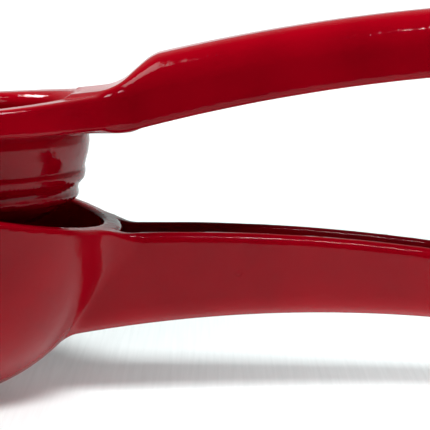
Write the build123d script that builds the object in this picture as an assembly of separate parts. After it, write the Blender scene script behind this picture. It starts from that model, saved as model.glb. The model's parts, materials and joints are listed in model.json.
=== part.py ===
from build123d import *

import os
from math import acos, asin, cos, degrees, radians, sin, sqrt, tan

# Hand citrus press: two cast arms on one hinge pin, standing part-open on a table.
# The lower arm is a round bowl with drain holes, two hinge ears and a channel handle open upward.
# The upper arm is a ring with a hollow press dome under it, a hinge tongue and a channel handle
# open downward. Everything is drawn about the foot of the bowl and moved to the part's origin last:
# the middle of the footprint, on the table. +X runs from the hinge to the handles' ends.

# Bowl. It stands on its own round bottom, its axis leaning towards the handle.
BOWL_R = 38.0
BOWL_WALL = 3.2
BOWL_LEAN = 12.5
BOWL_COLLAR = 3.2
RIM_ROUND = 1.3
BOWL_INNER_R = BOWL_R - BOWL_WALL

# Drain holes round the bowl's pole: circle radius, how many, first angle in degrees.
DRAIN_R = 1.75
DRAIN_CIRCLES = ((0.0, 1, 0.0), (6.8, 6, 30.0), (13.2, 12, 15.0))

# Hinge: two ears on the lower arm, a tongue on the upper arm, a pin through all three.
HINGE_X = -45.0
HINGE_Z = 53.0
KNUCKLE_R = 5.5
KNUCKLE_GAP = 0.7
TONGUE_HALF = 5.0
FACE_GAP = 0.25
EAR_THICK = 4.5
EAR_INNER = TONGUE_HALF + FACE_GAP
EAR_OUTER = EAR_INNER + EAR_THICK
EAR_FOOT_DROP = 12.0
PIN_R = 2.5
PIN_RUNNING_GAP = 0.05
PIN_PROUD = 0.6
PIN_END_ROUND = 0.5

# Ring of the upper arm. Its underside is level as the press stands, its side is drafted inward going up,
# and its upper face rises towards the handle: how far halfway along and at the handle's channel.
RING_X = 1.1
RING_R = 35.5
RING_UNDER_Z = 51.4
RING_THICK = 4.0
RING_MID_X = 21.0
RING_MID_RISE = 1.0
RING_RISE = 3.0
RING_DRAFT = 6.0
# Half outline of the neck seen from above: it leaves the ring on a tangent and runs into the handle.
NECK = ((20.0, 23.0), (27.9, 23.0), (38.0, 11.2), (40.5, 8.2))

# Press dome, as radius and depth below the ring's underside.
CUP_WALL = 3.0
BAND = ((30.7, 0.0), (31.1, 2.9), (30.1, 7.5))
RIDGE_1 = ((30.25, 8.6), (30.0, 9.7), (29.6, 10.2))
GROOVE = ((29.0, 10.9), (28.8, 11.6))
RIDGE_2 = ((29.0, 12.4), (28.5, 13.4))
CAP_SHOULDER = ((27.2, 14.1), (24.8, 15.8))
CAP_R = 51.0

# Handles. Each edge seen from the side is one long arc: apex x, apex z, radius.
LOWER_CREST = (48.5, 32.45, 345.0)
LOWER_BELLY = (74.5, 16.4, 262.4)
UPPER_CREST = (129.1, 74.6, 369.5)
UPPER_LIP = (126.2, 62.05, 342.8)
HANDLE_WALL = 2.9
LOWER_DRAFT = 12.0
BELLY_ROUND = 4.4
CROWN_ROUND = 6.4
LOWER_CHANNEL_ROUND = 2.2
UPPER_CHANNEL_ROUND = 3.9
# Half widths at the root, waist and end, with where these are along X.
LOWER_WIDTH = ((38.0, 10.0), (105.0, 8.2), (168.0, 9.2))
UPPER_WIDTH = ((38.0, 11.2), (112.0, 8.6), (172.0, 9.4))
LOWER_STATIONS = (29.0, 42.0, 60.0, 80.0, 100.0, 120.0, 140.0, 158.0, 178.0)
UPPER_STATIONS = (50.0, 60.0, 76.0, 94.0, 112.0, 130.0, 148.0, 164.0, 182.0)
LOWER_TIP_X = 169.0
UPPER_TIP_X = 173.0
TIP_HALF = 8.8
TIP_PLAN_ROUND = 7.0
TIP_WALL = 3.2
TIP_FOOT_ROUND = 4.0

# Shoulder where the upper handle rises from the ring: x, height of its top, crown radius.
SHOULDER = ((32.0, 57.0, 1.2), (36.8, 58.7, 1.8), (39.3, 60.5, 3.0), (41.8, 63.0, 4.6), (45.0, 64.8, 5.8))
CHANNEL_START_X = 40.5

# Hanging hole through the floor of the lower handle.
HANG_R = 3.0
HANG_X = 156.0

# How far a channel's cutting shape stands out of its mouth, and a length beyond the whole press.
OVERSHOOT = 8.0
FAR = 200.0
ORIGIN_X = (HINGE_X - KNUCKLE_R + UPPER_TIP_X) / 2


def on_arc(arc, x):
    """Height of a handle's edge at x."""
    apex_x, apex_z, radius = arc
    return apex_z - radius + sqrt(radius**2 - (x - apex_x) ** 2)


def half_width(widths, x):
    """Half width of a handle at x: two parabolas that meet at the waist."""
    (root_x, root), (waist_x, waist), (end_x, end) = widths
    far_x, far = (root_x, root) if x < waist_x else (end_x, end)
    return waist + (far - waist) * ((x - waist_x) / (far_x - waist_x)) ** 2


def stand_bowl(shape):
    """Leans what was drawn about the bowl's centre and sets it on the table."""
    return Pos(0, 0, BOWL_R) * Rot(0, BOWL_LEAN, 0) * shape


def face_xz(points):
    """A face from points of the mid plane, seen from the side."""
    with BuildSketch(Plane.XZ) as sketch:
        with BuildLine():
            Polyline(*points, close=True)
        make_face()
    return sketch.sketch


def slab(outline, half_y):
    """A side outline thickened to both sides of the mid plane."""
    return extrude(outline, half_y, both=True)


def knuckle(radius, half_y):
    """A disc about the hinge's axis."""
    return Pos(HINGE_X, 0, HINGE_Z) * Rot(90, 0, 0) * Cylinder(radius, 2 * half_y)


def bowl_shell():
    """Half ball with a short straight collar and a rounded rim, about the bowl's centre."""
    with BuildSketch(Plane.XZ) as section:
        with BuildLine():
            CenterArc((0, 0), BOWL_R, -90, 90)
            Polyline((BOWL_R, 0), (BOWL_R, BOWL_COLLAR), (BOWL_INNER_R, BOWL_COLLAR), (BOWL_INNER_R, 0))
            CenterArc((0, 0), BOWL_INNER_R, -90, 90)
            Line((0, -BOWL_INNER_R), (0, -BOWL_R))
        make_face()
        fillet(section.vertices().sort_by(Axis.Y)[-2:], RIM_ROUND)
    return revolve(section.sketch, Axis.Z, 360)


def bowl_solid(radius, top):
    """A ball's lower half with a straight column on it up to a height, about the bowl's centre."""
    return Sphere(radius) + Pos(0, 0, top / 2) * Cylinder(radius, top)


def drain_holes():
    """Round holes through the bowl's bottom, along its axis."""
    holes = []
    for circle_r, count, first in DRAIN_CIRCLES:
        for i in range(count):
            turn = radians(first + 360.0 * i / count)
            place = Pos(circle_r * cos(turn), circle_r * sin(turn), -BOWL_R)
            holes.append(place * Cylinder(DRAIN_R, BOWL_R))
    return holes


def hinge_ears():
    """Two ears on one foot that runs down the bowl, slotted for the tongue."""
    foot_z = BOWL_R - EAR_FOOT_DROP
    foot_x = -sqrt(BOWL_R**2 - EAR_FOOT_DROP**2)
    rim = stand_bowl(Pos(-BOWL_R + BOWL_WALL / 2, 0, BOWL_COLLAR - 0.4)).position
    back = (HINGE_X - KNUCKLE_R + 0.4, HINGE_Z - 2.0)
    front = (HINGE_X + 2.0, HINGE_Z + 5.1)
    foot = face_xz([back, front, (rim.X, rim.Z), (foot_x + 2.0, foot_z), (foot_x, foot_z)])
    block = slab(foot, EAR_OUTER) + knuckle(KNUCKLE_R, EAR_OUTER)
    slot_r = KNUCKLE_R + KNUCKLE_GAP
    behind = (HINGE_X - 2 * slot_r, HINGE_Z + 2 * slot_r)
    low = (HINGE_X - 2 * slot_r, HINGE_Z - 1.5)
    under = (HINGE_X - 1.5, HINGE_Z - slot_r)
    lip = stand_bowl(Pos(-BOWL_R - 0.5, 0, BOWL_COLLAR - 1.6)).position
    inner = stand_bowl(Pos(-BOWL_R + BOWL_WALL, 0, BOWL_COLLAR - 1.6)).position
    above = (0.0, HINGE_Z + 2 * slot_r)
    throat = face_xz([behind, low, under, (lip.X, lip.Z), (inner.X, inner.Z), above])
    return block - knuckle(slot_r, EAR_INNER) - slab(throat, EAR_INNER)


def trough(x, top, bottom, half, round_r):
    """Section of the lower handle at x: sides drafted inward to a rounded floor."""
    low_half = half - (top - bottom) * tan(radians(LOWER_DRAFT))
    with BuildSketch(Plane.YZ.offset(x)) as section:
        with BuildLine():
            Polyline((-half, top), (-low_half, bottom), (low_half, bottom), (half, top), close=True)
        make_face()
        fillet(section.vertices().sort_by(Axis.Y)[:2], round_r)
    return section.sketch


def arch(x, top, bottom, half, round_r):
    """Section of the upper handle at x: straight sides up to a rounded crown."""
    with BuildSketch(Plane.YZ.offset(x)) as section:
        with BuildLine():
            Polyline((-half, bottom), (half, bottom), (half, top), (-half, top), close=True)
        make_face()
        fillet(section.vertices().sort_by(Axis.Y)[-2:], round_r)
    return section.sketch


def lower_handle():
    """Channel open upward, from inside the bowl's wall to a closed rounded end."""
    outer = []
    inner = []
    for x in LOWER_STATIONS:
        top, bottom = on_arc(LOWER_CREST, x), on_arc(LOWER_BELLY, x)
        half = half_width(LOWER_WIDTH, x)
        outer.append(trough(x, top, bottom, half, BELLY_ROUND))
        inside = half - HANDLE_WALL + OVERSHOOT * tan(radians(LOWER_DRAFT))
        inner.append(trough(x, top + OVERSHOOT, bottom + HANDLE_WALL, inside, LOWER_CHANNEL_ROUND))
    body = loft(outer) & rounded_end(LOWER_TIP_X, 0.0, 0.0)
    hollow = loft(inner) & rounded_end(LOWER_TIP_X, TIP_WALL, HANDLE_WALL)
    hollow = hollow - stand_bowl(bowl_solid(BOWL_R, FAR / 4))
    return body, hollow


def rounded_end(tip_x, inset, foot_z):
    """A wide tall bar ending in a rounded nose at tip_x, to trim a handle with."""
    with BuildSketch() as plan:
        with Locations((tip_x - inset - FAR / 2, 0)):
            Rectangle(FAR, 2 * (TIP_HALF - inset))
        fillet(plan.vertices().sort_by(Axis.X)[-2:], TIP_PLAN_ROUND - inset)
        with Locations((tip_x - FAR - 2 * TIP_PLAN_ROUND, 0)):
            Rectangle(2 * FAR, 80)
    bar = extrude(plan.sketch, FAR, both=True)
    with BuildSketch(Plane.XZ) as side:
        with Locations((tip_x - inset - FAR / 2, FAR / 2 + foot_z)):
            Rectangle(FAR, FAR)
        fillet(side.vertices().sort_by(Axis.Y)[:2].sort_by(Axis.X)[-1], TIP_FOOT_ROUND)
    return bar & slab(side.sketch, 40.0)


def hanging_hole():
    """A hole square to the handle's floor, long enough to pass through it."""
    slope = degrees(asin((HANG_X - LOWER_BELLY[0]) / LOWER_BELLY[2]))
    return Pos(HANG_X, 0, on_arc(LOWER_BELLY, HANG_X)) * Rot(0, slope, 0) * Cylinder(HANG_R, 12.0)


def lower_arm():
    """Bowl, hinge ears and lower handle in one casting."""
    shell = stand_bowl(bowl_shell())
    body, hollow = lower_handle()
    clear = stand_bowl(bowl_solid(BOWL_INNER_R, FAR / 4))
    arm = (shell + (body - clear) - hollow) + (hinge_ears() - clear)
    for hole in drain_holes():
        arm = arm - stand_bowl(hole)
    arm = arm - hanging_hole()
    arm = arm - knuckle(PIN_R, 2 * EAR_OUTER)
    return arm


def dome_solid(inset, top):
    """The press dome with its skin moved inward by inset, closed at a height above the ring's underside."""
    skin = BAND + RIDGE_1 + GROOVE + RIDGE_2 + CAP_SHOULDER
    end_r, end_depth = CAP_SHOULDER[-1]
    ball_z = sqrt(CAP_R**2 - end_r**2) - end_depth
    ball_r = CAP_R - inset
    if inset:
        end_r = end_r - 0.7 * inset
        end_depth = sqrt(ball_r**2 - end_r**2) - ball_z
        skin = ((BAND[0][0] - inset, BAND[1][1]), (GROOVE[1][0] - inset, GROOVE[1][1]), (end_r, end_depth))
    turn = degrees(acos(end_r / ball_r))
    with BuildSketch(Plane.XZ) as section:
        with BuildLine():
            Polyline((0, top), (skin[0][0], top), *[(r, -depth) for r, depth in skin])
            CenterArc((0, ball_z), ball_r, -90, 90 - turn)
            Line((0, ball_z - ball_r), (0, top))
        make_face()
    return Pos(RING_X, 0, RING_UNDER_Z) * revolve(section.sketch, Axis.Z, 360)


def ring_plate():
    """Flat ring with a broad neck towards the handle, thicker towards the neck."""
    mirrored = [(x, -y) for x, y in reversed(NECK)]
    with BuildSketch() as plan:
        with Locations((RING_X, 0)):
            Circle(RING_R)
        with BuildLine():
            Polyline(*NECK, *mirrored, close=True)
        make_face()
    flat = RING_UNDER_Z + RING_THICK
    with BuildSketch(Plane.XZ) as side:
        with BuildLine():
            Line((-FAR / 4, RING_UNDER_Z), (-FAR / 4, flat))
            Line((-FAR / 4, flat), (RING_X, flat))
            ThreePointArc((RING_X, flat), (RING_MID_X, flat + RING_MID_RISE), (CHANNEL_START_X, flat + RING_RISE))
            Line((CHANNEL_START_X, flat + RING_RISE), (CHANNEL_START_X, RING_UNDER_Z))
            Line((CHANNEL_START_X, RING_UNDER_Z), (-FAR / 4, RING_UNDER_Z))
        make_face()
    return Pos(0, 0, RING_UNDER_Z) * extrude(plan.sketch, 12.0, taper=RING_DRAFT) & slab(side.sketch, 60.0)


def tongue():
    """The upper arm's knuckle, reaching back from the ring between the ears."""
    reach = face_xz(
        [
            (HINGE_X, HINGE_Z + KNUCKLE_R),
            (HINGE_X + 8.0, HINGE_Z + KNUCKLE_R - 0.9),
            (RING_X - RING_R + 3.0, RING_UNDER_Z + RING_THICK),
            (RING_X - RING_R + 3.0, RING_UNDER_Z),
            (HINGE_X + 5.8, RING_UNDER_Z),
            (HINGE_X, HINGE_Z - 1.5),
        ]
    )
    return slab(reach, TONGUE_HALF) + knuckle(KNUCKLE_R, TONGUE_HALF)


def upper_handle():
    """Channel open downward, from the shoulder on the ring to a closed rounded end."""
    outer = []
    inner = []
    for x, top, crown in SHOULDER:
        outer.append(arch(x, top, RING_UNDER_Z, half_width(UPPER_WIDTH, x), crown))
    for x in UPPER_STATIONS:
        top, lip = on_arc(UPPER_CREST, x), on_arc(UPPER_LIP, x)
        outer.append(arch(x, top, lip, half_width(UPPER_WIDTH, x), CROWN_ROUND))
    for x in (CHANNEL_START_X,) + UPPER_STATIONS:
        top, lip = on_arc(UPPER_CREST, x), on_arc(UPPER_LIP, x)
        inside = half_width(UPPER_WIDTH, x) - HANDLE_WALL
        inner.append(arch(x, top - HANDLE_WALL, lip - OVERSHOOT, inside, UPPER_CHANNEL_ROUND))
    body = loft(outer) & rounded_end(UPPER_TIP_X, 0.0, 0.0)
    hollow = loft(inner) & rounded_end(UPPER_TIP_X, TIP_WALL, 0.0)
    return body, hollow


def upper_arm():
    """Ring, press dome, tongue and upper handle in one casting."""
    head = ring_plate() + dome_solid(0.0, 1.0)
    head = head + (tongue() - knuckle(PIN_R + PIN_RUNNING_GAP, 2 * TONGUE_HALF))
    head = head - dome_solid(CUP_WALL, 20.0)
    body, hollow = upper_handle()
    return head + (body - hollow)


def hinge_pin():
    """A plain pin, fast in the ears, with rounded ends just proud of them."""
    pin = knuckle(PIN_R, EAR_OUTER + PIN_PROUD)
    ends = pin.edges().filter_by(GeomType.CIRCLE)
    return fillet(ends, PIN_END_ROUND)


def save(shape, name):
    """Moves a piece to the part's origin and writes it."""
    placed = Pos(-ORIGIN_X, 0, 0) * shape
    placed.label = name
    export_step(placed, f"parts/{name}.step")


os.makedirs("parts", exist_ok=True)
save(lower_arm(), "lower_arm")
save(upper_arm(), "upper_arm")
save(hinge_pin(), "hinge_pin")
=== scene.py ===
import json
from math import asin, cos, pi, radians, sin, sqrt

import bpy
import numpy as np
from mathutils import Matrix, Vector


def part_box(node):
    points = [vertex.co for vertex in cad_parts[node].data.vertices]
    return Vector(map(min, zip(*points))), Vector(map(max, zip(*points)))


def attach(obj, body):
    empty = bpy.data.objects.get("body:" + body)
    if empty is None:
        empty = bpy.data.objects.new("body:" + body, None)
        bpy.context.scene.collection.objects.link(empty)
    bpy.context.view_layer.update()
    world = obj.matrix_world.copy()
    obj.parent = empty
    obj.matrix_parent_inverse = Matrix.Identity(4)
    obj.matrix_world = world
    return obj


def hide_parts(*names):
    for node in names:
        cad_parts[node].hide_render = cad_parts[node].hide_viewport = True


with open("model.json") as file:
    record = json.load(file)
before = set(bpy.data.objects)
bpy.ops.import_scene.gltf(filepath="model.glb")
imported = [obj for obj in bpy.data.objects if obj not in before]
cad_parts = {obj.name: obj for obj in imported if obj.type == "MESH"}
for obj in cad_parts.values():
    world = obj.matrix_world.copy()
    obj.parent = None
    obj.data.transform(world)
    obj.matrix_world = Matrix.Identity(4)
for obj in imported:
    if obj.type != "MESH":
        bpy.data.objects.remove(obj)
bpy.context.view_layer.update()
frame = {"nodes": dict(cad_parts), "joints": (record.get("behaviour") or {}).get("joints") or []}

# The castings are modelled in millimetres, X from the bowl's foot towards the handles' ends, Z from
# the table up. The driving dimensions repeat the CAD's. The bowl stands on its own round bottom, with
# its axis leaning towards the handle.
BOWL_R = 38.0
BOWL_WALL = 3.2
BOWL_LEAN = radians(12.5)
BOWL_COLLAR = 3.2
HINGE_X, HINGE_Z = -45.0, 53.0
KNUCKLE_R = 5.5
KNUCKLE_GAP = 0.7
TONGUE_HALF = 5.0
EAR_INNER = 5.25
EAR_OUTER = 9.75
EAR_FOOT_DROP = 12.0
PIN_R = 2.5
PIN_RUNNING_GAP = 0.05
# Drain holes round the bowl's pole: circle radius, how many, first angle in degrees.
DRAIN_R = 1.75
DRAIN_CIRCLES = ((0.0, 1, 0.0), (6.8, 6, 30.0), (13.2, 12, 15.0))

RING_X, RING_R = 1.1, 35.5
RING_UNDER_Z = 51.4
RING_THICK = 4.0
RING_RISE = 3.0
RING_RISE_POWER = 1.6
RING_DRAFT = radians(6.0)
CUP_R = 27.7
# Half outline of the neck from above, closed well past the middle line. It leaves the ring on a
# tangent and runs into the handle.
NECK = ((RING_X, -20.0), (28.3, 22.8), (42.0, 6.4), (42.0, -20.0))

# Handle edges seen from the side, each one long arc: apex x, apex z, radius.
LOWER_CREST = (48.5, 32.45, 345.0)
LOWER_BELLY = (74.5, 16.4, 262.4)
UPPER_CREST = (129.1, 74.6, 369.5)
UPPER_LIP = (126.2, 62.05, 342.8)
# Half widths at the root, waist and end, each with its place along X.
LOWER_WIDTH = ((38.0, 10.0), (105.0, 8.2), (168.0, 9.2))
UPPER_WIDTH = ((38.0, 11.2), (112.0, 8.6), (172.0, 9.4))
HANDLE_WALL = 2.9
TIP_WALL = 3.2
LOWER_DRAFT = radians(12.0)
LOWER_TIP_X, UPPER_TIP_X = 169.0, 173.0
HANG_X, HANG_R = 156.0, 3.0

# Where the handles' bars begin, inside the bowl and the ring, and where their channels begin.
LOWER_ROOT_X, UPPER_ROOT_X = 20.0, 30.0
LOWER_CHANNEL_GAP = 0.6
UPPER_CHANNEL_X = 40.5
# Along X, where the ring's top rises into the handle, and where the bowl's rim passes into the crest.
SHOULDER = (34.2, 45.4)
RIM_TO_CREST = (36.0, 42.0)
# The fillet between the bowl and the handle grows from one radius to the other over these heights.
BOWL_FILLET_HEIGHTS = (20.0, 32.0)
BOWL_FILLET_LOW, BOWL_FILLET_HIGH = 1.2, 6.2

# Fillets where one part of a casting grows out of another.
KNUCKLE_FILLET = 3.0
EAR_FILLET = 2.0
HANDLE_FILLET = 2.4
DOME_FILLET = 0.5
TONGUE_FILLET = 0.5

# How far the castings' outer edges are rounded.
TIP_PLAN_ROUND = 7.0
BELLY_ROUND = 4.6
FLAT_FOOT_ROUND = 3.0
RIM_ROUND, CREST_ROUND = 0.9, 2.2
EAR_ROUND = 1.1
RING_TOP_ROUND, CROWN_ROUND = 1.1, 6.5
RING_UNDER_ROUND = 0.8
LIP_ROUND = 1.35
TONGUE_ROUND = 0.5

# How far the corners inside the channels are rounded, and then the mouths of what is hollow.
CHANNEL_END_ROUND = 4.0
CHANNEL_START_ROUND = 2.0
LOWER_CHANNEL_ROUND, UPPER_CHANNEL_ROUND = 2.4, 3.8
LOWER_MOUTH_ROUND, UPPER_MOUTH_ROUND = 0.9, 1.3
BOWL_MOUTH_ROUND = 0.7
CUP_MOUTH_ROUND = 2.4
SLOT_MOUTH_ROUND = 0.35
DRAIN_MOUTH_ROUND = 0.4
HANG_MOUTH_ROUND = 0.5

# The CAD's X origin is the middle of the footprint; the hinge places it against the bowl's foot.
MM = 1000
FOOT_X = HINGE_X - frame["joints"][0]["pos_m"][0] * MM

# The grid that the castings are meshed on: its step, its margin round a node, and how many slices
# are worked out at a time. A distance starts as far away, before the nearest one is found.
CELL = 0.62
MARGIN = 1.5
SLICES = 16
FAR_AWAY = 1e9
# Points are drawn onto the surface a few times, each time by no more than a limit. The last two
# values are how far apart a field is read to find its slope.
SETTLE_TIMES = 3
SETTLE_LIMIT = 0.4
LEAST_STEEPNESS = 0.2
SETTLE_STEP, NORMAL_STEP = 0.05, 0.12

# The enamel's own colour, under its clear coat.
RED = (0.3, 0.0, 0.006)

# The table top runs flat from its front edge to the foot of the sweep. These are in metres.
TABLE_FRONT = -0.2
SWEEP_FOOT = 0.4
SWEEP_R = 0.9
BACKDROP_TOP = 3.0
TABLE_HALF = 3.0
SWEEP_STEPS = 12

# The camera stands this far in front of the press, above the table and past the bowl's foot.
VIEW_DISTANCE = 0.391
VIEW_HEIGHT = 0.0819
VIEW_ACROSS = 0.0555
VIEW_DOWN = radians(6.8912)
SENSOR_WIDTH, LENS = 36.0, 176.82


# ---- Distance fields: negative inside, in millimetres ----

def join(a, b, r):
    """Union of two fields with a fillet of radius r in the corner between them."""
    return np.maximum(np.minimum(a, b), r) - np.hypot(np.maximum(r - a, 0), np.maximum(r - b, 0))


def meet(a, b, r):
    """Intersection of two fields with the shared edge rounded to radius r."""
    return np.minimum(np.maximum(a, b), -r) + np.hypot(np.maximum(a + r, 0), np.maximum(b + r, 0))


def cut(a, b, r):
    """Field a without field b, the edge rounded to radius r."""
    return meet(a, -b, r)


def polygon(points, u, v):
    """Signed distance in a plane to a closed polygon."""
    points = np.asarray(points, np.float32)
    best = np.full(u.shape, FAR_AWAY, np.float32)
    inside = np.zeros(u.shape, bool)
    for (au, av), (bu, bv) in zip(points, np.roll(points, -1, 0)):
        eu, ev = bu - au, bv - av
        pu, pv = u - au, v - av
        t = np.clip((pu * eu + pv * ev) / (eu * eu + ev * ev), 0, 1)
        best = np.minimum(best, (pu - t * eu) ** 2 + (pv - t * ev) ** 2)
        crosses = (av > v) != (bv > v)
        if ev:
            inside ^= crosses & (pu < pv * eu / ev)
    return np.where(inside, -1, 1) * np.sqrt(best)


def on_arc(arc, x):
    """Height of a handle's edge at x."""
    apex_x, apex_z, radius = arc
    return apex_z - radius + np.sqrt(np.maximum(radius**2 - (x - apex_x) ** 2, 1))


def half_width(widths, x):
    """Half width of a handle at x: two parabolas that meet at the waist."""
    (root_x, root), (waist_x, waist), (end_x, end) = widths
    before = waist + (root - waist) * ((x - waist_x) / (root_x - waist_x)) ** 2
    after = waist + (end - waist) * ((x - waist_x) / (end_x - waist_x)) ** 2
    return np.where(x < waist_x, before, after)


def ease(x, start, end):
    """Smooth step from 0 at start to 1 at end."""
    t = np.clip((x - start) / (end - start), 0, 1)
    return t * t * (3 - 2 * t)


# ---- Lower arm ----

def in_bowl(x, z):
    """A point in the leaning bowl's own axes, from its centre: along its rim, and up its axis."""
    dz = z - BOWL_R
    return x * cos(BOWL_LEAN) - dz * sin(BOWL_LEAN), x * sin(BOWL_LEAN) + dz * cos(BOWL_LEAN)


def bowl_place(along, up):
    """Where a point in the bowl's own axes is when the bowl stands on the table."""
    x = along * cos(BOWL_LEAN) + up * sin(BOWL_LEAN)
    return x, BOWL_R - along * sin(BOWL_LEAN) + up * cos(BOWL_LEAN)


def bowl_radius(x, y, z):
    """Distance from the bowl's centre below its equator and from its axis above it."""
    along, up = in_bowl(x, z)
    return np.sqrt(along**2 + y**2 + np.minimum(up, 0) ** 2), up


def drain_holes(x, y, z):
    """Straight holes through the bowl's bottom, along its axis."""
    along, up = in_bowl(x, z)
    best = np.full(x.shape, FAR_AWAY, np.float32)
    for circle_r, count, first in DRAIN_CIRCLES:
        for i in range(count):
            turn = radians(first + 360.0 * i / count)
            best = np.minimum(best, np.hypot(along - circle_r * cos(turn), y - circle_r * sin(turn)))
    return np.maximum(best - DRAIN_R, up)


def hinge_distance(x, z):
    """Distance from the hinge's axis."""
    return np.hypot(x - HINGE_X, z - HINGE_Z)


def hinge_ears(x, y, z):
    """The block of the two hinge ears, on a foot that runs down the bowl."""
    foot_z = BOWL_R - EAR_FOOT_DROP
    foot_x = -sqrt(BOWL_R**2 - EAR_FOOT_DROP**2)
    rim = bowl_place(-BOWL_R + BOWL_WALL / 2, BOWL_COLLAR - 0.4)
    back = (HINGE_X - KNUCKLE_R + 0.4, HINGE_Z - 2.0)
    front = (HINGE_X + 2.0, HINGE_Z + 5.1)
    foot = [back, front, rim, (foot_x + 2.0, foot_z), (foot_x, foot_z)]
    side = join(polygon(foot, x, z), hinge_distance(x, z) - KNUCKLE_R, KNUCKLE_FILLET)
    return meet(side, np.abs(y) - EAR_OUTER, EAR_ROUND)


def hinge_slot(x, y, z):
    """Room for the tongue between the ears and over the bowl's rim."""
    slot_r = KNUCKLE_R + KNUCKLE_GAP
    throat = [
        (HINGE_X - 2 * slot_r, HINGE_Z + 2 * slot_r),
        (HINGE_X - 2 * slot_r, HINGE_Z - 1.5),
        (HINGE_X - 1.5, HINGE_Z - slot_r),
        bowl_place(-BOWL_R - 0.5, BOWL_COLLAR - 1.6),
        bowl_place(-BOWL_R + BOWL_WALL, BOWL_COLLAR - 1.6),
        (0.0, HINGE_Z + 2 * slot_r),
    ]
    opening = np.minimum(hinge_distance(x, z) - slot_r, polygon(throat, x, z))
    return np.maximum(opening, np.abs(y) - EAR_INNER)


def lower_side(x, y, z):
    """The lower handle's two drafted sides."""
    drafted = (on_arc(LOWER_CREST, x) - z) * np.tan(LOWER_DRAFT)
    return np.abs(y) - half_width(LOWER_WIDTH, x) + drafted


def lower_bar(x, y, z):
    """The lower handle before it is hollowed, flat where its end rests on the table."""
    bar = meet(lower_side(x, y, z), x - LOWER_TIP_X, TIP_PLAN_ROUND)
    bar = meet(bar, on_arc(LOWER_BELLY, x) - z, BELLY_ROUND)
    bar = meet(bar, -z, FLAT_FOOT_ROUND)
    return np.maximum(bar, LOWER_ROOT_X - x)


def lower_channel(x, y, z):
    """The hollow of the lower handle, open upward, which stops just outside the bowl."""
    floor = np.maximum(on_arc(LOWER_BELLY, x), 0) + HANDLE_WALL
    channel = meet(lower_side(x, y, z) + HANDLE_WALL, x - LOWER_TIP_X + TIP_WALL, CHANNEL_END_ROUND)
    channel = meet(channel, floor - z, LOWER_CHANNEL_ROUND)
    return np.maximum(channel, BOWL_R + LOWER_CHANNEL_GAP - bowl_radius(x, y, z)[0])


def hanging_hole(x, y, z):
    """A hole square to the lower handle's floor."""
    slope = asin((HANG_X - LOWER_BELLY[0]) / LOWER_BELLY[2])
    floor_z = float(on_arc(LOWER_BELLY, HANG_X))
    across = (x - HANG_X) * cos(slope) - (z - floor_z) * sin(slope)
    return np.hypot(across, y) - HANG_R


def lower_arm_field(x, y, z):
    """Bowl, ears and upward channel handle in one casting."""
    radius, up = bowl_radius(x, y, z)
    higher = ease(z, *BOWL_FILLET_HEIGHTS)
    fillet = BOWL_FILLET_LOW + (BOWL_FILLET_HIGH - BOWL_FILLET_LOW) * higher
    body = join(radius - BOWL_R, lower_bar(x, y, z), fillet)
    past_rim = ease(x, *RIM_TO_CREST)
    face = (up - BOWL_COLLAR) * (1 - past_rim) + (z - on_arc(LOWER_CREST, x)) * past_rim
    body = meet(body, face, RIM_ROUND + (CREST_ROUND - RIM_ROUND) * past_rim)
    body = join(body, hinge_ears(x, y, z), EAR_FILLET)
    body = cut(body, lower_channel(x, y, z), LOWER_MOUTH_ROUND)
    body = cut(body, radius - BOWL_R + BOWL_WALL, BOWL_MOUTH_ROUND)
    body = cut(body, hinge_slot(x, y, z), SLOT_MOUTH_ROUND)
    body = cut(body, drain_holes(x, y, z), DRAIN_MOUTH_ROUND)
    body = cut(body, hanging_hole(x, y, z), HANG_MOUTH_ROUND)
    return np.maximum(body, PIN_R - hinge_distance(x, z))


# ---- Upper arm ----

def ball_cap(ball_r, end_r, end_z, count):
    """Points along the bottom of a ball, from a radius and height in to the axis."""
    centre = end_z + sqrt(ball_r**2 - end_r**2)
    radii = np.linspace(end_r, 0.0, count)
    return [(float(r), centre - sqrt(ball_r**2 - r**2)) for r in radii]


def dome_outline():
    """Half outline of the press dome's skin as radius and height over the ring's underside."""
    band = [(0.0, 2.0), (30.7, 2.0), (30.7, 0.0), (31.0, -1.4), (31.1, -2.9), (30.8, -4.9), (30.4, -6.4)]
    first_ridge = [(30.15, -7.5), (30.3, -8.1), (30.3, -8.8), (30.05, -9.7), (29.6, -10.2)]
    groove = [(29.2, -10.6), (28.95, -11.1), (28.85, -11.7)]
    second_ridge = [(29.0, -12.2), (29.0, -12.8), (28.6, -13.4)]
    shoulder = [(27.7, -13.85), (26.3, -14.9)]
    nose = ball_cap(ball_r=51.0, end_r=24.8, end_z=-15.8, count=14)
    return band + first_ridge + groove + second_ridge + shoulder + nose


def cup_outline():
    """Half outline of the hollow inside the dome, open at the top."""
    wall = [(0.0, 30.0), (CUP_R, 30.0), (CUP_R, -2.9), (25.9, -11.4), (24.6, -12.6)]
    floor = ball_cap(ball_r=48.0, end_r=22.7, end_z=-13.5, count=12)
    return wall + floor


def ring_top(x):
    """Height of the ring's upper face, thicker towards the neck."""
    t = np.maximum((x - RING_X) / (UPPER_CHANNEL_X - RING_X), 0)
    return RING_UNDER_Z + RING_THICK + RING_RISE * t**RING_RISE_POWER


def ring_plate(x, y, z):
    """Ring and neck, drafted inward going up."""
    plan = np.minimum(np.hypot(x - RING_X, y) - RING_R, polygon(NECK, x, np.abs(y)))
    plan = plan + (z - RING_UNDER_Z) * np.tan(RING_DRAFT)
    plate = meet(plan, z - ring_top(x), RING_TOP_ROUND)
    return meet(plate, RING_UNDER_Z - z, RING_UNDER_ROUND)


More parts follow.
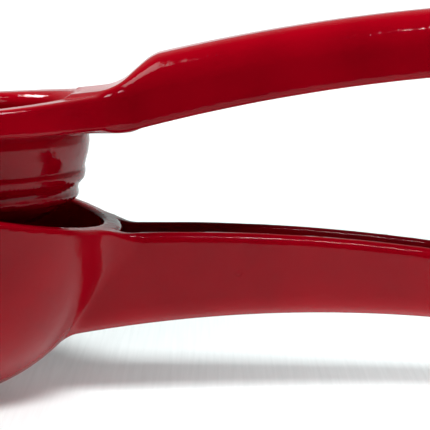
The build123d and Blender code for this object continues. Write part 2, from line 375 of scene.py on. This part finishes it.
def tongue(x, y, z):
    """The upper arm's knuckle, reaching back from the ring between the ears."""
    reach = [
        (HINGE_X, HINGE_Z + KNUCKLE_R),
        (HINGE_X + 8.0, HINGE_Z + KNUCKLE_R - 0.9),
        (RING_X - RING_R + 3.0, RING_UNDER_Z + RING_THICK),
        (RING_X - RING_R + 3.0, RING_UNDER_Z),
        (HINGE_X + 5.8, RING_UNDER_Z),
        (HINGE_X, HINGE_Z - 1.5),
    ]
    side = np.minimum(polygon(reach, x, z), hinge_distance(x, z) - KNUCKLE_R)
    return meet(side, np.abs(y) - TONGUE_HALF, TONGUE_ROUND)


def upper_top(x):
    """Height of the upper arm's top, which rises over the shoulder, and how far it has risen."""
    rise = ease(x, *SHOULDER)
    return ring_top(x) * (1 - rise) + on_arc(UPPER_CREST, x) * rise, rise


def upper_side(x, y):
    """The upper handle's two upright sides."""
    return np.abs(y) - half_width(UPPER_WIDTH, x)


def upper_bar(x, y, z):
    """The upper handle before it is hollowed, with its shoulder on the ring."""
    top, rise = upper_top(x)
    lip = np.maximum(on_arc(UPPER_LIP, x), RING_UNDER_Z)
    bar = meet(upper_side(x, y), x - UPPER_TIP_X, TIP_PLAN_ROUND)
    bar = meet(bar, z - top, RING_TOP_ROUND + (CROWN_ROUND - RING_TOP_ROUND) * rise)
    bar = meet(bar, lip - z, LIP_ROUND)
    return np.maximum(bar, UPPER_ROOT_X - x)


def upper_channel(x, y, z):
    """The hollow of the upper handle, open downward."""
    channel = meet(upper_side(x, y) + HANDLE_WALL, x - UPPER_TIP_X + TIP_WALL, CHANNEL_END_ROUND)
    channel = meet(channel, UPPER_CHANNEL_X - x, CHANNEL_START_ROUND)
    return meet(channel, z - upper_top(x)[0] + HANDLE_WALL, UPPER_CHANNEL_ROUND)


def upper_arm_field(x, y, z):
    """Ring, hollow press dome, tongue and downward channel handle in one casting."""
    radius = np.hypot(x - RING_X, y)
    body = join(ring_plate(x, y, z), upper_bar(x, y, z), HANDLE_FILLET)
    body = join(body, polygon(dome_outline(), radius, z - RING_UNDER_Z), DOME_FILLET)
    body = join(body, tongue(x, y, z), TONGUE_FILLET)
    body = cut(body, polygon(cup_outline(), radius, z - RING_UNDER_Z), CUP_MOUTH_ROUND)
    body = cut(body, upper_channel(x, y, z), UPPER_MOUTH_ROUND)
    return np.maximum(body, PIN_R + PIN_RUNNING_GAP - hinge_distance(x, z))


# ---- From a field to a mesh ----

def sample(field, low, high):
    """The field on a regular grid that covers a box, a few slices at a time."""
    axes = [np.arange(a, b + CELL, CELL, dtype=np.float32) for a, b in zip(low, high)]
    out = np.empty([len(a) for a in axes], np.float32)
    for i in range(0, len(axes[0]), SLICES):
        grid = np.meshgrid(axes[0][i:i + SLICES], axes[1], axes[2], indexing="ij")
        out[i:i + SLICES] = field(*grid)
    return out


def cell_points(values):
    """One point in each cell the surface passes through: the middle of its edge crossings."""
    inside = values < 0
    corners = np.stack(np.meshgrid([0, 1], [0, 1], [0, 1], indexing="ij"), -1).reshape(-1, 3)
    nx, ny, nz = (n - 1 for n in values.shape)

    def corner(array, c):
        return array[c[0]:c[0] + nx, c[1]:c[1] + ny, c[2]:c[2] + nz]

    count = sum(corner(inside, c).astype(np.int8) for c in corners)
    active = np.argwhere((count > 0) & (count < len(corners)))
    total = np.zeros((len(active), 3), np.float32)
    hits = np.zeros(len(active), np.float32)
    for c in corners:
        for axis in np.flatnonzero(c == 0):
            d = c.copy()
            d[axis] = 1
            a = values[tuple((active + c).T)]
            b = values[tuple((active + d).T)]
            crossing = (a < 0) != (b < 0)
            t = np.where(crossing, a / np.where(crossing, a - b, 1), 0)
            point = np.tile(c.astype(np.float32), (len(active), 1))
            point[:, axis] = t
            total += point * crossing[:, None]
            hits += crossing
    return active, active + total / hits[:, None]


def quads(values, active):
    """A quad for each grid edge that the surface crosses, facing outward."""
    index = np.full([n - 1 for n in values.shape], -1, np.int32)
    index[tuple(active.T)] = np.arange(len(active))
    faces = []
    for axis in range(3):
        u, v = (axis + 1) % 3, (axis + 2) % 3
        here = [slice(1, -1)] * 3
        there = [slice(1, -1)] * 3
        here[axis] = slice(0, -1)
        there[axis] = slice(1, None)
        a, b = values[tuple(here)] < 0, values[tuple(there)] < 0
        edges = np.argwhere(a != b)
        outward = a[tuple(edges.T)]
        offset = np.ones(3, int)
        offset[axis] = 0
        base = edges + offset
        ring = []
        for du, dv in ((-1, -1), (0, -1), (0, 0), (-1, 0)):
            cell = base.copy()
            cell[:, u] += du
            cell[:, v] += dv
            ring.append(index[tuple(cell.T)])
        ring = np.stack(ring, 1)
        ring[~outward] = ring[~outward][:, ::-1]
        faces.append(ring)
    faces = np.concatenate(faces)
    return faces[(faces >= 0).all(1)]


def slope_of(field, points, step):
    """Gradient of the field at points, by central differences."""
    out = np.empty_like(points)
    for axis in range(3):
        shift = np.zeros(3, np.float32)
        shift[axis] = step
        out[:, axis] = field(*(points + shift).T) - field(*(points - shift).T)
    return out / (2 * step)


def settle(field, points):
    """Draws points along the field's slope onto its surface, in place."""
    for _ in range(SETTLE_TIMES):
        slope = slope_of(field, points, SETTLE_STEP)
        steepness = np.maximum((slope**2).sum(1), LEAST_STEEPNESS)
        points -= slope * np.clip(field(*points.T) / steepness, -SETTLE_LIMIT, SETTLE_LIMIT)[:, None]


def normals_of(field, points):
    """Unit normals of the field's surface at points."""
    normals = slope_of(field, points, NORMAL_STEP)
    return normals / np.maximum(np.linalg.norm(normals, axis=1), 1e-6)[:, None]


def casting(name, field, node):
    """A smooth mesh of a field, over the CAD node's own box."""
    foot = (FOOT_X, 0, 0)
    low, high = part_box(node)
    low = np.array(low) * MM + foot - MARGIN
    high = np.array(high) * MM + foot + MARGIN
    values = sample(field, low, high)
    active, points = cell_points(values)
    points = (points * CELL + low).astype(np.float32)
    settle(field, points)
    mesh = bpy.data.meshes.new(name)
    mesh.from_pydata(((points - foot) / MM).tolist(), [], quads(values, active).tolist())
    mesh.shade_smooth()
    mesh.normals_split_custom_set_from_vertices(normals_of(field, points).tolist())
    return add_object(name, mesh)


def add_object(name, data):
    """An object for a mesh, light or camera, in the scene."""
    thing = bpy.data.objects.new(name, data)
    bpy.context.scene.collection.objects.link(thing)
    return thing


# ---- Materials ----

def new_material(name):
    """A material with an empty Principled shader."""
    material = bpy.data.materials.new(name)
    material.use_nodes = True
    tree = material.node_tree
    tree.nodes.clear()
    shader = tree.nodes.new("ShaderNodeBsdfPrincipled")
    output = tree.nodes.new("ShaderNodeOutputMaterial")
    tree.links.new(shader.outputs[0], output.inputs[0])
    return material, tree, shader


def new_node(tree, kind, **inputs):
    """A shader node with some of its inputs set."""
    node = tree.nodes.new(kind)
    for key, value in inputs.items():
        node.inputs[key].default_value = value
    return node


def mapped(tree, **inputs):
    """Object coordinates, in metres, moved or stretched."""
    place = tree.nodes.new("ShaderNodeTexCoord")
    mapping = new_node(tree, "ShaderNodeMapping", **inputs)
    tree.links.new(place.outputs["Object"], mapping.inputs["Vector"])
    return mapping.outputs["Vector"]


def noise(tree, at, scale, detail):
    """Smooth noise; a larger scale is finer."""
    texture = new_node(tree, "ShaderNodeTexNoise", Scale=scale, Detail=detail, Roughness=0.5)
    tree.links.new(at, texture.inputs["Vector"])
    return texture.outputs["Fac"]


def ramp(tree, factor, low, high, start, end):
    """Maps a factor between two positions onto two colours."""
    node = tree.nodes.new("ShaderNodeValToRGB")
    node.color_ramp.elements[0].position = start
    node.color_ramp.elements[0].color = (*low, 1)
    node.color_ramp.elements[1].position = end
    node.color_ramp.elements[1].color = (*high, 1)
    tree.links.new(factor, node.inputs[0])
    return node.outputs[0]


def bump(tree, height, distance, strength, under=None):
    """Normals bumped by a height, over another bump if one is given."""
    node = new_node(tree, "ShaderNodeBump", Distance=distance, Strength=strength)
    tree.links.new(height, node.inputs["Height"])
    if under is not None:
        tree.links.new(under, node.inputs["Normal"])
    return node.outputs[0]


def grey(value):
    """A grey colour, for a value that a ramp gives."""
    return (value, value, value)


def tinted(colour, factor):
    """A colour made darker or lighter."""
    return [channel * factor for channel in colour]


def enamel_bumps(tree, at):
    """Faint casting waves, orange peel on them, and a few pin holes."""
    waves = bump(tree, noise(tree, at, scale=65, detail=2), distance=0.0009, strength=0.16)
    peel = bump(tree, noise(tree, at, scale=750, detail=3), distance=0.00022, strength=0.24, under=waves)
    pits = new_node(tree, "ShaderNodeTexVoronoi", Scale=95)
    tree.links.new(at, pits.inputs["Vector"])
    dots = ramp(tree, pits.outputs["Distance"], grey(0), grey(1), start=0.035, end=0.075)
    return bump(tree, dots, distance=0.0002, strength=0.4, under=peel)


def enamel(name, seed):
    """Red enamel under a clear glossy coat, a little uneven in colour and gloss."""
    material, tree, shader = new_material(name)
    at = mapped(tree, Location=(seed, seed * 0.7, -seed))
    blotches = noise(tree, at, scale=55, detail=3)
    tint = ramp(tree, blotches, tinted(RED, 0.86), tinted(RED, 1.1), start=0.35, end=0.68)
    rough = ramp(tree, noise(tree, at, scale=130, detail=4), grey(0.2), grey(0.3), start=0.35, end=0.7)
    coat_rough = ramp(tree, noise(tree, at, scale=90, detail=3), grey(0.03), grey(0.07), start=0.4, end=0.7)
    bumps = enamel_bumps(tree, at)
    tree.links.new(tint, shader.inputs["Base Color"])
    tree.links.new(rough, shader.inputs["Roughness"])
    tree.links.new(coat_rough, shader.inputs["Coat Roughness"])
    tree.links.new(bumps, shader.inputs["Normal"])
    tree.links.new(bumps, shader.inputs["Coat Normal"])
    shader.inputs["Specular IOR Level"].default_value = 0.0
    shader.inputs["Coat Weight"].default_value = 0.58
    shader.inputs["Coat IOR"].default_value = 1.33
    return material


def turned_steel(name):
    """Bright steel with a fine grain drawn out along the pin."""
    material, tree, shader = new_material(name)
    grain = noise(tree, mapped(tree, Scale=(900, 60, 900)), scale=1, detail=4)
    tint = ramp(tree, grain, (0.5, 0.49, 0.48), (0.68, 0.67, 0.66), start=0.3, end=0.7)
    rough = ramp(tree, grain, grey(0.2), grey(0.36), start=0.3, end=0.7)
    tree.links.new(tint, shader.inputs["Base Color"])
    tree.links.new(rough, shader.inputs["Roughness"])
    tree.links.new(bump(tree, grain, distance=0.00005, strength=0.3), shader.inputs["Normal"])
    shader.inputs["Metallic"].default_value = 1.0
    return material


def ribbed_paper(name):
    """Matt white paper with a faint fine ribbing."""
    material, tree, shader = new_material(name)
    ribs = noise(tree, mapped(tree, Scale=(1300, 25, 1)), scale=1, detail=2)
    tint = ramp(tree, ribs, (0.79, 0.86, 0.86), (0.85, 0.92, 0.92), start=0.3, end=0.7)
    tree.links.new(tint, shader.inputs["Base Color"])
    shader.inputs["Roughness"].default_value = 0.7
    shader.inputs["Specular IOR Level"].default_value = 0.2
    return material


# ---- The object ----

def press():
    """The two castings and the pin."""
    lower = casting("lower_casting", lower_arm_field, "lower_arm")
    lower.data.materials.append(enamel("lower_enamel", seed=0.31))
    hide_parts("lower_arm")
    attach(lower, "lower_body")
    upper = casting("upper_casting", upper_arm_field, "upper_arm")
    upper.data.materials.append(enamel("upper_enamel", seed=0.83))
    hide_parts("upper_arm")
    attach(upper, "upper_body")
    pin = frame["nodes"]["hinge_pin"]
    pin.data.materials.clear()
    pin.data.materials.append(turned_steel("pin_steel_finish"))
    return lower, upper, pin


# ---- Stage, in metres ----

def white_table():
    """A table top that sweeps up into a white backdrop behind the press."""
    profile = [(TABLE_FRONT, 0.0), (SWEEP_FOOT, 0.0)]
    for i in range(1, SWEEP_STEPS + 1):
        turn = i / SWEEP_STEPS * pi / 2
        profile.append((SWEEP_FOOT + SWEEP_R * sin(turn), SWEEP_R - SWEEP_R * cos(turn)))
    profile.append((SWEEP_FOOT + SWEEP_R, BACKDROP_TOP))
    points = [(x, y, z) for y, z in profile for x in (-TABLE_HALF, TABLE_HALF)]
    faces = [(2 * i, 2 * i + 1, 2 * i + 3, 2 * i + 2) for i in range(len(profile) - 1)]
    mesh = bpy.data.meshes.new("table")
    mesh.from_pydata(points, [], faces)
    mesh.shade_smooth()
    mesh.materials.append(ribbed_paper("table_paper"))
    table = add_object("table", mesh)
    return table


def aimed(name, light, place, target):
    """A lamp at a place, turned to a target."""
    lamp = add_object(name, light)
    lamp.location = place
    lamp.rotation_euler = (Vector(target) - Vector(place)).to_track_quat("-Z", "Y").to_euler()
    return lamp


def softbox(name, place, target, size, watts):
    """A rectangular soft light; its size is its width and height."""
    light = bpy.data.lights.new(name, "AREA")
    light.shape = "RECTANGLE"
    light.size, light.size_y = size
    light.energy = watts
    return aimed(name, light, place, target)


def spot(name, place, target, cone, watts):
    """A small lamp with a soft-edged pool of light; the cone's full angle is in degrees."""
    light = bpy.data.lights.new(name, "SPOT")
    light.spot_size = radians(cone)
    light.spot_blend = 1.0
    light.shadow_soft_size = 0.05
    light.energy = watts
    return aimed(name, light, place, target)


def group(name, members):
    """A named set of objects for light linking."""
    collection = bpy.data.collections.new(name)
    for member in members:
        collection.objects.link(member)
    return collection


def light_all():
    """The one lamp that lights the press and the table alike."""
    softbox("left_front", (-1.05, -0.65, 0.74), (0.0, 0.0, 0.04), (0.6, 0.4), watts=2.8)


def light_press(pieces, upper):
    """Lamps that light the press only, the one at the back left only its upper arm."""
    press_group = group("press_light", pieces)
    left = softbox("left_top", (-0.55, -0.12, 1.15), (0.0, 0.0, 0.02), (0.6, 0.6), watts=9.6)
    right = softbox("right_top", (0.6, -0.12, 1.1), (0.0, 0.0, 0.02), (0.32, 0.32), watts=8)
    strip = softbox("front_strip", (0.2, -0.62, 1.12), (0.0, 0.0, 0.03), (0.25, 0.05), watts=3.2)
    for lamp in (left, right, strip):
        lamp.light_linking.receiver_collection = press_group
    behind = softbox("left_behind", (-0.95, 0.6, 0.9), (0.0, 0.0, 0.06), (0.36, 0.36), watts=15)
    behind.light_linking.receiver_collection = group("upper_light", [upper])


def light_table(table, lower):
    """Lamps for the table only: over_table is shaded by the lower arm alone, table_fill by no piece."""
    table_group = group("table_light", [table])
    over = softbox("over_table", (0.15, -0.9, 0.95), (0.0, 0.1, 0.0), (0.4, 0.4), watts=20.5)
    over.light_linking.blocker_collection = group("low_shade", [lower])
    sweep = spot("over_sweep", (0.0, 0.5, 1.4), (0.0, 0.55, 0.0), cone=38, watts=75)
    fill = spot("table_fill", (0.16, 0.0, 0.8), (0.16, 0.0, 0.0), cone=35, watts=23)
    fill.light_linking.blocker_collection = group("no_shade", [table])
    for lamp in (over, sweep, fill):
        lamp.light_linking.receiver_collection = table_group


def dim_room():
    """A faint white light from all round, and colours shown as they are."""
    world = bpy.data.worlds.new("room")
    world.use_nodes = True
    background = world.node_tree.nodes["Background"]
    background.inputs["Color"].default_value = (1, 1, 1, 1)
    background.inputs["Strength"].default_value = 0.03
    scene = bpy.context.scene
    scene.world = world
    scene.view_settings.view_transform = "Standard"
    scene.view_settings.look = "None"
    scene.view_settings.exposure = 0.0


def camera():
    """A long lens from the side, slightly above, framed on the neck of the press."""
    data = bpy.data.cameras.new("camera")
    data.sensor_width = SENSOR_WIDTH
    data.lens = LENS
    data.clip_start = 0.02
    data.clip_end = 20.0
    data.dof.use_dof = False
    view = add_object("camera", data)
    view.location = (VIEW_ACROSS - FOOT_X / MM, -VIEW_DISTANCE, VIEW_HEIGHT)
    view.rotation_euler = (pi / 2 - VIEW_DOWN, 0, 0)
    bpy.context.scene.camera = view


lower, upper, pin = press()
table = white_table()
light_all()
light_press([lower, upper, pin], upper)
light_table(table, lower)
dim_room()
camera()
